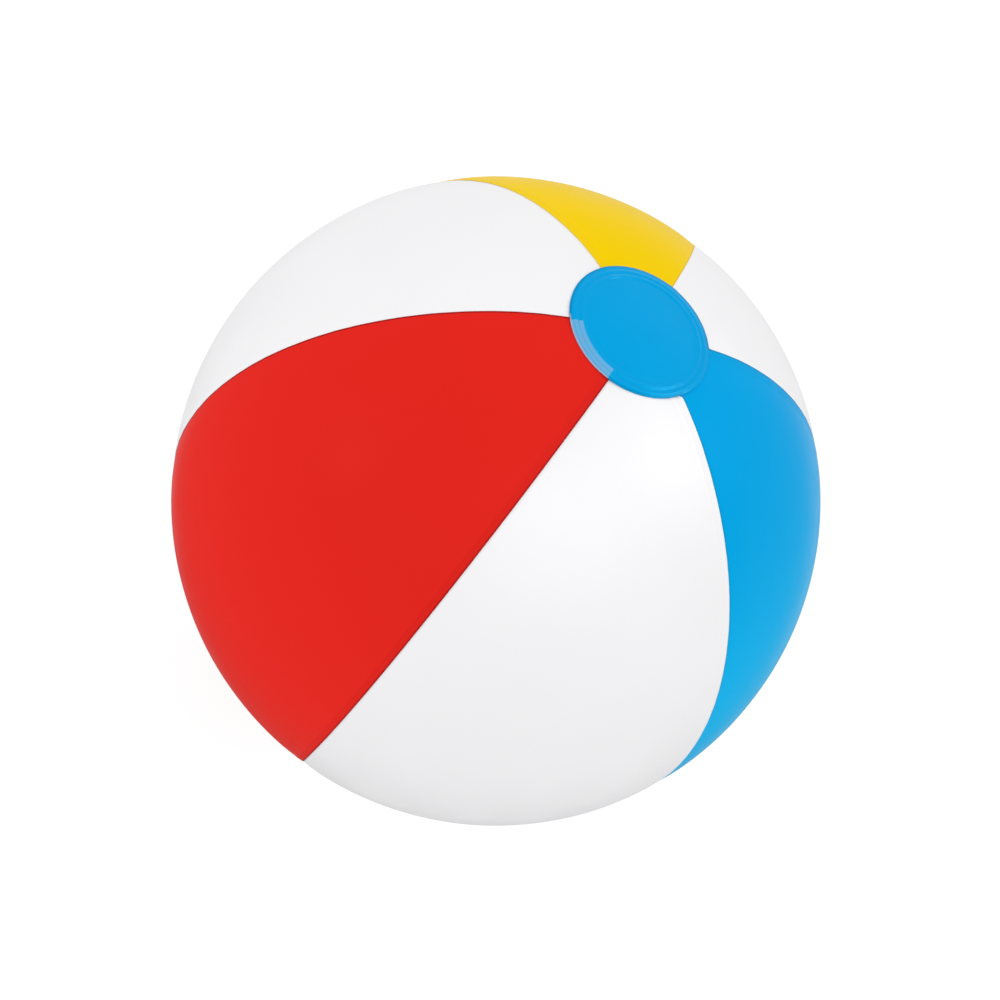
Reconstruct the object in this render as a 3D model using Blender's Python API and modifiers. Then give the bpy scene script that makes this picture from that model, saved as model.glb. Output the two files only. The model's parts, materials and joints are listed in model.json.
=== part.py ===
"""Inflatable beach ball, 360 mm across: six welded vinyl panels, a round
patch over each end, and a soft push-in valve in one of the white panels.

Frame: the origin is the centre of the ball and +Z runs along its axis,
through the middle of the two end patches.  Panels run from patch to patch,
with their seams at every 60 degrees of azimuth, starting from +X.
Units are metres.
"""
import math

import bmesh
import bpy
from mathutils import Matrix, Vector

MM = 0.001

# ---- ball ------------------------------------------------------------------
BALL_RADIUS = 180.0 * MM      # middle of the film, inflated
FILM = 0.20 * MM              # vinyl film
PANELS = 6
SEAM_PITCH = 2.0 * math.pi / PANELS
MERIDIANS = 42                # facets around the ball, 7 to a panel
PARALLELS = 24                # facets from end to end

# ---- lap seams ---------------------------------------------------------------
LAP_WIDTH = 4.0 * MM          # each panel is tucked this far under the one before
LAP_STEP = 0.25 * MM          # outer flap up, inner flap down by this much
JOG_GAP = 0.3 * MM            # from a flap's edge to where the other film has stepped
JOG_RUN = 1.0 * MM            # and the length of the step

# ---- end patches -------------------------------------------------------------
PATCH_ARC = 36.4 * MM         # from the pole to the patch's edge, along the ball
PANEL_END_ARC = 28.0 * MM     # from the pole to the panels' ends, under the patch
PATCH_FILM = 0.30 * MM
TOUCH_GAP = 0.30 * MM         # between pieces that are welded or rest together
REST_RADIUS = 21.0 * MM       # flattened where the ball stands

# ---- valve -------------------------------------------------------------------
VALVE_AZIMUTH = math.radians(150.0)
VALVE_LATITUDE = math.radians(-35.0)
VALVE_STEPS = 32
HOLE_RADIUS = 11.6 * MM       # cut in the panel
FLANGE_INNER = 8.5 * MM
FLANGE_OUTER = 17.0 * MM
FLANGE_THICK = 0.5 * MM
FLANGE_DROP = 1.25 * MM       # top of the flange below the ball's surface
STEM_TOP = -0.8 * MM          # heights are along the valve's axis, outward
STEM_FOOT = -16.3 * MM
STEM_RADIUS = 4.8 * MM
STEM_BORE = 3.3 * MM
LIP_RADIUS = 5.8 * MM
LIP_DEPTH = 1.3 * MM
COLLAR_RADIUS = 5.3 * MM
COLLAR_TOP = -7.0 * MM
COLLAR_BASE = -8.4 * MM
CAP_RADIUS = 6.5 * MM
CAP_TOP = 1.3 * MM
CAP_BASE = -0.5 * MM
PLUG_LENGTH = 4.5 * MM
PLUG_ROOT = 3.0 * MM
PLUG_TIP = 2.0 * MM
HINGE_REACH = 10.2 * MM       # stopper's pivot from the valve's axis
HINGE_HEIGHT = 0.3 * MM
STRAP_WIDTH = 2.6 * MM
STRAP_THICK = 0.6 * MM
FLAP_RADIUS = 4.3 * MM
FLAP_THICK = 0.5 * MM
FLAP_REACH = 4.6 * MM         # flap's pivot from the valve's axis

# ---- finishes (linear colour, roughness) ---------------------------------------
RED = ((0.75, 0.019, 0.015), 0.32)
BLUE = ((0.0, 0.367, 0.776), 0.32)
YELLOW = ((0.896, 0.604, 0.002), 0.32)
WHITE = ((0.88, 0.88, 0.90), 0.32)
CLEAR = ((0.72, 0.76, 0.78), 0.28)


def clear_scene():
    for obj in list(bpy.data.objects):
        bpy.data.objects.remove(obj, do_unlink=True)


def collection(name):
    coll = bpy.data.collections.get(name)
    if coll is None:
        coll = bpy.data.collections.new(name)
        bpy.context.scene.collection.children.link(coll)
    return coll


def material(name, finish):
    colour, roughness = finish
    mat = bpy.data.materials.new(name)
    mat.use_nodes = True
    shader = mat.node_tree.nodes["Principled BSDF"]
    shader.inputs["Base Color"].default_value = (*colour, 1.0)
    shader.inputs["Roughness"].default_value = roughness
    shader.inputs["Metallic"].default_value = 0.0
    return mat


def mesh_object(name, bm, finish, coll, parent=None):
    mesh = bpy.data.meshes.new(name)
    bm.normal_update()
    bm.to_mesh(mesh)
    bm.free()
    mesh.materials.append(material(name + "_vinyl", finish))
    mesh.shade_smooth()
    mesh.set_sharp_from_angle(angle=math.radians(40.0))
    obj = bpy.data.objects.new(name, mesh)
    coll.objects.link(obj)
    obj.parent = parent
    return obj


def empty(name, coll, matrix, parent=None):
    obj = bpy.data.objects.new(name, None)
    obj.empty_display_size = 0.01
    coll.objects.link(obj)
    obj.parent = parent
    obj.matrix_local = matrix
    return obj


def solidify(obj, thickness, offset):
    mod = obj.modifiers.new("film", "SOLIDIFY")
    mod.thickness = thickness
    mod.offset = offset
    mod.use_even_offset = True
    return mod


def cut(bm, normal, offset, drop=None):
    """Cut along the plane normal . p = offset, dropping one side if asked."""
    bmesh.ops.bisect_plane(
        bm, geom=bm.verts[:] + bm.edges[:] + bm.faces[:], dist=1e-6,
        plane_co=normal * offset, plane_no=normal,
        clear_outer=drop == "above", clear_inner=drop == "below")


def ramp(value, low, high):
    return min(max((value - low) / (high - low), 0.0), 1.0)


def make_panel(name, start, finish, coll):
    """One panel, from the seam at azimuth start to the next one.

    Its far edge ends on the next seam and laps over the panel after it.
    Its near edge runs past its own seam, tucked under the panel before.
    """
    near = Vector((-math.sin(start), math.cos(start), 0.0))
    end = start + SEAM_PITCH
    far = Vector((-math.sin(end), math.cos(end), 0.0))
    axis = Vector((0.0, 0.0, 1.0))
    tip = BALL_RADIUS * math.cos(PANEL_END_ARC / BALL_RADIUS)

    bm = bmesh.new()
    bmesh.ops.create_uvsphere(bm, u_segments=MERIDIANS, v_segments=PARALLELS,
                              radius=BALL_RADIUS)
    cut(bm, near, -LAP_WIDTH, "below")
    cut(bm, far, 0.0, "above")
    cut(bm, axis, tip, "above")
    cut(bm, axis, -tip, "below")
    raised = -(LAP_WIDTH + JOG_GAP)
    for run in (0.0, JOG_RUN):
        cut(bm, near, JOG_GAP + run)
        cut(bm, far, raised - run)
    for vert in bm.verts:
        up = ramp(vert.co.dot(far), raised - JOG_RUN, raised)
        down = 1.0 - ramp(vert.co.dot(near), JOG_GAP, JOG_GAP + JOG_RUN)
        radius = vert.co.length
        vert.co *= (radius + LAP_STEP * (up - down)) / radius
    obj = mesh_object(name, bm, finish, coll)
    solidify(obj, FILM, 0.0)
    return obj


def make_patch(name, side, finish, coll, rest_radius=0.0):
    """Round patch over the panels' ends, side +1 at the top, -1 at the bottom."""
    outer = (BALL_RADIUS + LAP_STEP + FILM / 2 + TOUCH_GAP + PATCH_FILM)
    axis = Vector((0.0, 0.0, float(side)))
    bm = bmesh.new()
    bmesh.ops.create_uvsphere(bm, u_segments=MERIDIANS, v_segments=PARALLELS,
                              radius=outer)
    cut(bm, axis, outer * math.cos(PATCH_ARC / BALL_RADIUS), "below")
    if rest_radius:
        level = math.sqrt(outer ** 2 - rest_radius ** 2)
        cut(bm, axis, level)
        for vert in bm.verts:
            if vert.co.dot(axis) > level:
                vert.co.z = side * level
    obj = mesh_object(name, bm, finish, coll)
    solidify(obj, PATCH_FILM, -1.0)
    return obj


def turned(name, profile, finish, coll, parent, closed):
    """Turn a profile of (radius, height) points about the parent's Z axis.

    The points run down the outer side.  A closed profile makes a ring, and
    an open one starts and ends on the axis.
    """
    bm = bmesh.new()
    verts = [bm.verts.new((r, 0.0, h)) for r, h in profile]
    for a, b in zip(verts, verts[1:]):
        bm.edges.new((a, b))
    if closed:
        bm.edges.new((verts[-1], verts[0]))
    obj = mesh_object(name, bm, finish, coll, parent)
    mod = obj.modifiers.new("turn", "SCREW")
    mod.axis = "Z"
    mod.angle = 2.0 * math.pi
    mod.steps = VALVE_STEPS
    mod.render_steps = VALVE_STEPS
    mod.use_merge_vertices = True
    mod.merge_threshold = 0.00002
    mod.use_smooth_shade = True
    return obj


def thicken(line, half):
    """Closed outline of a bent strip, outer side first, from its centre line."""
    left, right = [], []
    for i, (r, h) in enumerate(line):
        a = line[max(i - 1, 0)]
        b = line[min(i + 1, len(line) - 1)]
        dr, dh = b[0] - a[0], b[1] - a[1]
        size = math.hypot(dr, dh)
        nr, nh = -dh / size * half, dr / size * half
        left.append((r + nr, h + nh))
        right.append((r - nr, h - nh))
    return left + right[::-1]


def on_ball(r, drop):
    """Height, at radius r from the valve's axis, of a sphere drop below the ball's."""
    return math.sqrt((BALL_RADIUS - drop) ** 2 - r ** 2) - BALL_RADIUS


def make_flange(coll, valve):
    radii = [FLANGE_OUTER - i * (FLANGE_OUTER - FLANGE_INNER) / 3 for i in range(4)]
    under = [(r, on_ball(r, FLANGE_DROP + FLANGE_THICK)) for r in radii]
    over = [(r, on_ball(r, FLANGE_DROP)) for r in reversed(radii)]
    return turned("valve_flange", under + over, CLEAR, coll, valve, True)


def make_diaphragm(coll, valve):
    """Thin neck that rolls as the stem slides, from the flange to the stem's collar."""
    top = on_ball(FLANGE_INNER, FLANGE_DROP + FLANGE_THICK / 2)
    mid = (COLLAR_TOP + COLLAR_BASE) / 2
    outer = FLANGE_INNER - TOUCH_GAP
    inner = COLLAR_RADIUS + TOUCH_GAP
    line = [(inner, mid), (inner + 0.4 * MM, mid + 0.05 * MM)]
    for i in range(1, 8):
        t = i / 8.0
        ease = t * t * (3.0 - 2.0 * t)
        line.append((inner + 0.5 * MM + (outer - inner - 0.9 * MM) * t,
                     mid + 0.1 * MM + (top - mid - 0.15 * MM) * ease))
    line += [(outer - 0.3 * MM, top - 0.02 * MM), (outer, top)]
    return turned("valve_diaphragm", thicken(line, 0.2 * MM), CLEAR, coll, valve, True)


def make_stem(coll, valve):
    profile = [
        (LIP_RADIUS - 0.3 * MM, STEM_TOP),
        (LIP_RADIUS, STEM_TOP - 0.3 * MM),
        (LIP_RADIUS, STEM_TOP - LIP_DEPTH + 0.2 * MM),
        (STEM_RADIUS, STEM_TOP - LIP_DEPTH - 0.5 * MM),
        (STEM_RADIUS, COLLAR_TOP + 0.3 * MM),
        (COLLAR_RADIUS, COLLAR_TOP),
        (COLLAR_RADIUS, COLLAR_BASE),
        (STEM_RADIUS, COLLAR_BASE - 0.3 * MM),
        (STEM_RADIUS, STEM_FOOT + 0.4 * MM),
        (STEM_RADIUS - 0.4 * MM, STEM_FOOT),
        (STEM_BORE, STEM_FOOT),
        (STEM_BORE, STEM_TOP),
    ]
    return turned("valve_stem", profile, CLEAR, coll, valve, True)


def make_stopper(coll, hinge):
    """Cap and plug; the plug tapers so that it can swing out of the bore."""
    crown = CAP_TOP - 0.25 * MM
    profile = [
        (0.0, CAP_TOP),
        (CAP_RADIUS * 0.55, CAP_TOP - 0.05 * MM),
        (CAP_RADIUS - 0.5 * MM, crown),
        (CAP_RADIUS, crown - 0.45 * MM),
        (CAP_RADIUS, CAP_BASE + 0.3 * MM),
        (CAP_RADIUS - 0.3 * MM, CAP_BASE),
        (PLUG_ROOT, CAP_BASE),
        (PLUG_ROOT - 0.1 * MM, CAP_BASE - 1.2 * MM),
        ((PLUG_ROOT + PLUG_TIP) / 2 + 0.1 * MM, CAP_BASE - 2.9 * MM),
        (PLUG_TIP, CAP_BASE - PLUG_LENGTH + 0.3 * MM),
        (PLUG_TIP - 0.3 * MM, CAP_BASE - PLUG_LENGTH),
        (0.0, CAP_BASE - PLUG_LENGTH),
    ]
    obj = turned("valve_stopper", profile, CLEAR, coll, hinge, False)
    obj.location = (-HINGE_REACH, 0.0, -HINGE_HEIGHT)
    return obj


def make_strap(coll, valve):
    """Short band looped from the stem's lip to the cap's rim."""
    upper = 0.4 * MM
    lower = -0.75 * MM
    bend = (upper - lower) / 2
    centre = HINGE_REACH - bend + 0.1 * MM
    line = [(LIP_RADIUS + TOUCH_GAP, STEM_TOP - 0.65 * MM),
            (LIP_RADIUS + TOUCH_GAP + 0.5 * MM, STEM_TOP - 0.6 * MM),
            (centre - 1.6 * MM, lower - 0.1 * MM),
            (centre - 0.8 * MM, lower)]
    for i in range(9):
        turn = math.radians(-90.0 + 180.0 * i / 8.0)
        line.append((centre + bend * math.cos(turn),
                     (upper + lower) / 2 + bend * math.sin(turn)))
    line += [(centre - 1.2 * MM, upper), (CAP_RADIUS + TOUCH_GAP, upper)]
    bm = bmesh.new()
    verts = [bm.verts.new((r, -STRAP_WIDTH / 2, h)) for r, h in line]
    edges = [bm.edges.new((a, b)) for a, b in zip(verts, verts[1:])]
    swept = bmesh.ops.extrude_edge_only(bm, edges=edges)["geom"]
    moved = [item for item in swept if isinstance(item, bmesh.types.BMVert)]
    bmesh.ops.translate(bm, verts=moved, vec=(0.0, STRAP_WIDTH, 0.0))
    obj = mesh_object("stopper_strap", bm, CLEAR, coll, valve)
    solidify(obj, STRAP_THICK, 0.0)
    return obj


def make_flap(coll, hinge):
    bm = bmesh.new()
    bmesh.ops.create_cone(bm, cap_ends=True, cap_tris=False, segments=24,
                          radius1=FLAP_RADIUS, radius2=FLAP_RADIUS, depth=FLAP_THICK)
    obj = mesh_object("check_flap", bm, CLEAR, coll, hinge)
    obj.location = (FLAP_REACH, 0.0, 0.0)
    return obj


def make_hole_cutter(coll, valve):
    bm = bmesh.new()
    bmesh.ops.create_cone(bm, cap_ends=True, cap_tris=False, segments=VALVE_STEPS,
                          radius1=HOLE_RADIUS, radius2=HOLE_RADIUS, depth=20.0 * MM)
    mesh = bpy.data.meshes.new("valve_hole_cutter")
    bm.to_mesh(mesh)
    bm.free()
    obj = bpy.data.objects.new("valve_hole_cutter", mesh)
    coll.objects.link(obj)
    obj.parent = valve
    obj.hide_render = True
    obj.display_type = "WIRE"
    return obj


def valve_matrix():
    """Origin on the ball, Z outward, X towards the bottom end patch."""
    lat, az = VALVE_LATITUDE, VALVE_AZIMUTH
    out = Vector((math.cos(lat) * math.cos(az), math.cos(lat) * math.sin(az), math.sin(lat)))
    south = Vector((math.sin(lat) * math.cos(az), math.sin(lat) * math.sin(az), -math.cos(lat)))
    side = out.cross(south)
    matrix = Matrix((south, side, out)).transposed().to_4x4()
    matrix.translation = out * BALL_RADIUS
    return matrix


def main():
    clear_scene()
    parts = collection("beach_ball")
    cutters = collection("cutters")

    order = [("panel_white_right", 0, WHITE), ("panel_yellow", 1, YELLOW),
             ("panel_white_left", 2, WHITE), ("panel_red", 3, RED),
             ("panel_white_front", 4, WHITE), ("panel_blue", 5, BLUE)]
    panels = {name: make_panel(name, index * SEAM_PITCH, finish, parts)
              for name, index, finish in order}
    make_patch("top_end_disc", 1, BLUE, parts)
    make_patch("bottom_end_disc", -1, BLUE, parts, REST_RADIUS)

    valve = empty("valve_axis", parts, valve_matrix())
    hole = make_hole_cutter(cutters, valve)
    mod = panels["panel_white_left"].modifiers.new("valve_hole", "BOOLEAN")
    mod.operation = "DIFFERENCE"
    mod.solver = "EXACT"
    mod.object = hole

    make_flange(parts, valve)
    make_diaphragm(parts, valve)
    make_stem(parts, valve)
    hinge = empty("stopper_hinge_axis", parts,
                  Matrix.Translation((HINGE_REACH, 0.0, HINGE_HEIGHT)), valve)
    make_stopper(parts, hinge)
    make_strap(parts, valve)
    flap_level = STEM_FOOT - TOUCH_GAP - FLAP_THICK / 2
    flap_hinge = empty("flap_hinge_axis", parts,
                       Matrix.Translation((-FLAP_REACH, 0.0, flap_level)), valve)
    make_flap(parts, flap_hinge)


main()
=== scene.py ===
import json
import math

import bmesh
import bpy
import numpy as np
from mathutils import Matrix, Vector


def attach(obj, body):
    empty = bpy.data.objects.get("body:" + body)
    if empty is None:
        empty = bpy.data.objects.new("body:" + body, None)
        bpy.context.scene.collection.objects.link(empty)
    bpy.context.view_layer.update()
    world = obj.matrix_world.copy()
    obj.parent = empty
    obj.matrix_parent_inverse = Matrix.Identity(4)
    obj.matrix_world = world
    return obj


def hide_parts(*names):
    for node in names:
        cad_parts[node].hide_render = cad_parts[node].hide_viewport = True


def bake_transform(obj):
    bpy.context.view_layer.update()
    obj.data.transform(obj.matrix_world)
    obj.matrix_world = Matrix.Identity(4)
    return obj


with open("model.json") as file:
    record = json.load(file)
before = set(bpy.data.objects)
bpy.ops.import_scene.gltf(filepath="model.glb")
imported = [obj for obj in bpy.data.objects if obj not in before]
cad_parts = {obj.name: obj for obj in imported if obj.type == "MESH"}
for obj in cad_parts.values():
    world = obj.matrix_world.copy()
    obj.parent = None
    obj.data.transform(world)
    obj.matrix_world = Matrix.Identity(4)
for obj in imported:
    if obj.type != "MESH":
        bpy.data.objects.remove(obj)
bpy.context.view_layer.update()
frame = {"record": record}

MM = 0.001
R = 0.180                     # middle of the film
FILM = 0.20 * MM
LAP = 4.0 * MM                # tucked under the panel before
STEP = 0.15 * MM              # a flap's shift at a lap, up or down
PATCH = 36.4 * MM             # end disc, pole to edge along the ball
PANEL_END = 28.0 * MM         # where the panels end under the disc
DISC_FILM = 0.30 * MM
REST_Z = frame["record"]["mounts"][0]["pos_m"][2]
ORDER = ["white_right", "yellow", "white_left", "red", "white_front", "blue"]
BLUE_INDEX = ORDER.index("blue")
PITCH = math.radians(60.0)

VALVE_AZ = math.radians(150.0)
VALVE_LAT = math.radians(-35.0)
HOLE = 11.6 * MM


# ---------------------------------------------------------------- small helpers
def smooth(x, a, b):
    t = np.clip((x - a) / (b - a), 0.0, 1.0)
    return t * t * (3.0 - 2.0 * t)


def bump(x, centre, width):
    return np.exp(-((x - centre) / width) ** 2)


def wrap(a):
    return (a + math.pi) % (2.0 * math.pi) - math.pi


def waves(x, y, seed, length, count=5):
    """Smooth, repeatable noise of two coordinates in metres, about -1 to 1."""
    rng = np.random.RandomState(seed)
    total = np.zeros_like(x, dtype=float)
    for _ in range(count):
        a = rng.uniform(0, 2 * math.pi)
        k = 2 * math.pi / (length * rng.uniform(0.7, 1.5))
        total = total + np.sin(k * (math.cos(a) * x + math.sin(a) * y) + rng.uniform(0, 2 * math.pi))
    return total / math.sqrt(count) / 1.2


# ---------------------------------------------------------------- the film's shape
def fillet(d, r):
    """Width of a concave corner of radius r at a distance d from its foot."""
    d = np.clip(d, 0.0, r)
    return r - np.sqrt(np.maximum(r * r - (r - d) ** 2, 0.0))


# A blown-up film ball is never quite even: each seam wanders a few millimetres off
# its meridian. Per seam: the arc its curve holds to, and the curve's three terms in mm.
WANDER = [(123.0, 5.37, 1.22, -6.19), (98.0, -1.29, 0.43, 0.59), (107.0, -4.33, -0.96, 5.31),
          (263.0, 0.98, 0.35, 1.89), (290.0, -1.88, -2.18, 0.17), (244.0, 2.28, -0.30, -1.37)]


def seam_shift(k, arc):
    """How far seam k's visible edge lies off its meridian, towards +azimuth.

    The blue panel runs into the blue disc with a small round corner each side.
    """
    k = k % 6
    last, c0, c1, c2 = WANDER[k]
    a = np.asarray(arc, float) / MM
    held = last - 14.0 * np.log1p(np.exp(np.clip((last - a) / 14.0, -50, 50)))
    t = (np.maximum(held, 34.0) - 200.0) / 160.0
    shift = (c0 + c1 * t + c2 * (t * t - 0.4)) * MM
    shift = shift * (1.0 - smooth(a, last, min(last + 170.0, 470.0))) * smooth(a, 10.0, 36.0)
    web = fillet(arc - (PATCH - 0.2 * MM), 2.4 * MM)
    if k == BLUE_INDEX:            # blue panel's near seam
        return shift - web
    if k == (BLUE_INDEX + 1) % 6:  # and its far one
        return shift + web
    return shift


def pucker(k, arc, s):
    """Gathers across seam k: arc runs along it and s is the distance from it."""
    k = k % 6
    rng = np.random.RandomState(100 + k)
    p = rng.uniform(0, 2 * math.pi, 6)
    u = arc * 2 * math.pi
    main = np.sin(u / (12.5 * MM) + p[0] + 1.6 * np.sin(u / (71 * MM) + p[1]))
    main = main * (0.62 + 0.38 * np.sin(u / (47 * MM) + p[2]))
    fine = np.sin(u / (6.1 * MM) + p[3] + 1.2 * np.sin(u / (39 * MM) + p[4]))
    fine = fine * (0.5 + 0.5 * np.sin(u / (58 * MM) + p[5]))
    a = np.abs(s)
    wave = 0.125 * MM * main * np.exp(-a / (6.5 * MM)) + 0.05 * MM * fine * np.exp(-a / (3.2 * MM))
    wave = wave * (0.45 + 0.55 * smooth(a, 0.0, 3.0 * MM))
    ends = smooth(arc, PATCH + 1 * MM, PATCH + 16 * MM) * smooth(math.pi * R - arc, PATCH + 1 * MM, PATCH + 16 * MM)
    return wave * ends


def base_radius(arc, az):
    """The inflated ball, a little flatter at the stiff upper end."""
    r = R - 1.1 * MM * (1.0 - smooth(arc, 14 * MM, 62 * MM))
    x = R * np.sin(arc / R) * np.cos(az)
    y = R * np.sin(arc / R) * np.sin(az)
    z = R * np.cos(arc / R)
    return r + 0.05 * MM * waves(x + 0.7 * z, y - 0.4 * z, 7, 60 * MM)


def film_radius(index, arc, az):
    """Radius of the middle of a panel's film, with its laps, gathers and seams."""
    near = index * PITCH
    ring = R * np.sin(arc / R)
    off = wrap(az - near - PITCH / 2) + PITCH / 2
    sn = off * ring - seam_shift(index, arc)
    sf = (PITCH - off) * ring + seam_shift(index + 1, arc)
    r = base_radius(arc, az)
    for k, s in ((index, sn), (index + 1, sf)):
        r = r - 0.42 * MM * np.exp(-(s / (8.5 * MM)) ** 2) - 0.10 * MM * np.exp(-(s / (2.6 * MM)) ** 2)
        r = r + pucker(k, arc, s)
    r = r - STEP * (1.0 - smooth(sn, 0.3 * MM, 1.4 * MM))
    r = r + STEP * (1.0 - smooth(sf, LAP + 0.2 * MM, LAP + 1.5 * MM))
    # shallow gathers round the discs, where the panels' tips are welded down
    for a in (arc, math.pi * R - arc):
        edge = np.maximum(a - PATCH, 0.0)
        ripple = np.sin(az * 41 + 1.3 * np.sin(az * 7)) * (0.6 + 0.4 * np.sin(az * 5 + 1.0))
        r = r + 0.05 * MM * ripple * np.exp(-edge / (5 * MM)) * smooth(a, PANEL_END, PATCH)
    return r, sn, sf


def valve_frame():
    lat, az = VALVE_LAT, VALVE_AZ
    out = Vector((math.cos(lat) * math.cos(az), math.cos(lat) * math.sin(az), math.sin(lat)))
    south = Vector((math.sin(lat) * math.cos(az), math.sin(lat) * math.sin(az), -math.cos(lat)))
    m = Matrix((south, out.cross(south), out)).transposed().to_4x4()
    m.translation = out * R
    return m


VALVE = valve_frame()
V_X, V_Y, V_N = (np.array(VALVE.to_3x3().col[i]) for i in range(3))


def weld_ring(rho, phi):
    """The film pressed down on the valve's flange, with two weld grooves."""
    e = -0.30 * MM * (1.0 - smooth(rho, 17.2 * MM, 18.2 * MM))
    e = e - 0.17 * MM * bump(rho, 13.3 * MM, 0.50 * MM) - 0.17 * MM * bump(rho, 15.4 * MM, 0.50 * MM)
    gather = np.sin(phi * 23 + 1.4 * np.sin(3 * phi)) * (0.6 + 0.4 * np.sin(phi * 4 + 0.6))
    far = np.maximum(rho - 17.8 * MM, 0.0)
    e = e + 0.24 * MM * gather * np.exp(-far / (6.5 * MM)) * smooth(rho, 17 * MM, 20.5 * MM)
    return e


# ---------------------------------------------------------------- meshes
def new_mesh(name, verts, faces):
    me = bpy.data.meshes.new(name)
    me.from_pydata([tuple(v) for v in verts], [], [tuple(f) for f in faces])
    me.update()
    ob = bpy.data.objects.new(name, me)
    bpy.context.scene.collection.objects.link(ob)
    return ob


def apply_modifiers(ob):
    dg = bpy.context.evaluated_depsgraph_get()
    me = bpy.data.meshes.new_from_object(ob.evaluated_get(dg), depsgraph=dg)
    old = ob.data
    ob.modifiers.clear()
    ob.data = me
    bpy.data.meshes.remove(old)
    return ob


def thicken(ob, thickness, offset=0.0):
    mod = ob.modifiers.new("film", "SOLIDIFY")
    mod.thickness = thickness
    mod.offset = offset
    mod.use_even_offset = True
    return apply_modifiers(ob)


def shade(ob, angle=35.0):
    ob.data.shade_smooth()
    ob.data.set_sharp_from_angle(angle=math.radians(angle))


def set_attribute(ob, name, values):
    a = ob.data.attributes.get(name) or ob.data.attributes.new(name, "FLOAT", "POINT")
    a.data.foreach_set("value", np.asarray(values, np.float32))


def coords(ob):
    co = np.empty(len(ob.data.vertices) * 3, np.float32)
    ob.data.vertices.foreach_get("co", co)
    return co.reshape(-1, 3).astype(float)


def polar(co):
    r = np.linalg.norm(co, axis=1)
    arc = np.arccos(np.clip(co[:, 2] / r, -1, 1)) * R
    return arc, np.arctan2(co[:, 1], co[:, 0])


def direction(arc, az):
    th = arc / R
    return np.stack([np.sin(th) * np.cos(az), np.sin(th) * np.sin(az), np.cos(th)], -1)


def panel_rows():
    end = [28, 29.5, 31, 32.5, 34, 35.2, 35.9, 36.3, 36.6, 36.9, 37.2, 37.5, 37.9, 38.3, 38.8, 39.5, 40.4, 41.6, 43.1, 45]
    half = math.pi * R / 2 / MM
    body = list(np.linspace(45, half, int((half - 45) / 2.25) + 2))[1:]
    rows = np.array(end + body) * MM
    return np.concatenate([rows, (math.pi * R - rows[:-1])[::-1]])


EDGE = np.array([0, .35, .7, 1.05, 1.4, 2.1, 3.0, 4.0, 4.35, 4.7, 5.1, 5.6, 6.6, 8.2, 10.2, 12.6, 15.5]) * MM
INSIDE = 30


def panel_columns(width):
    f = min(1.0, 0.47 * width / EDGE[-1])
    e = EDGE * f
    mid = np.linspace(e[-1], width - e[-1], INSIDE + 1)[1:-1]
    flap = np.array([-4.0, -3.0, -2.0, -1.0]) * MM * f
    return np.concatenate([flap, e, mid, (width - e)[::-1]])


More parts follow.
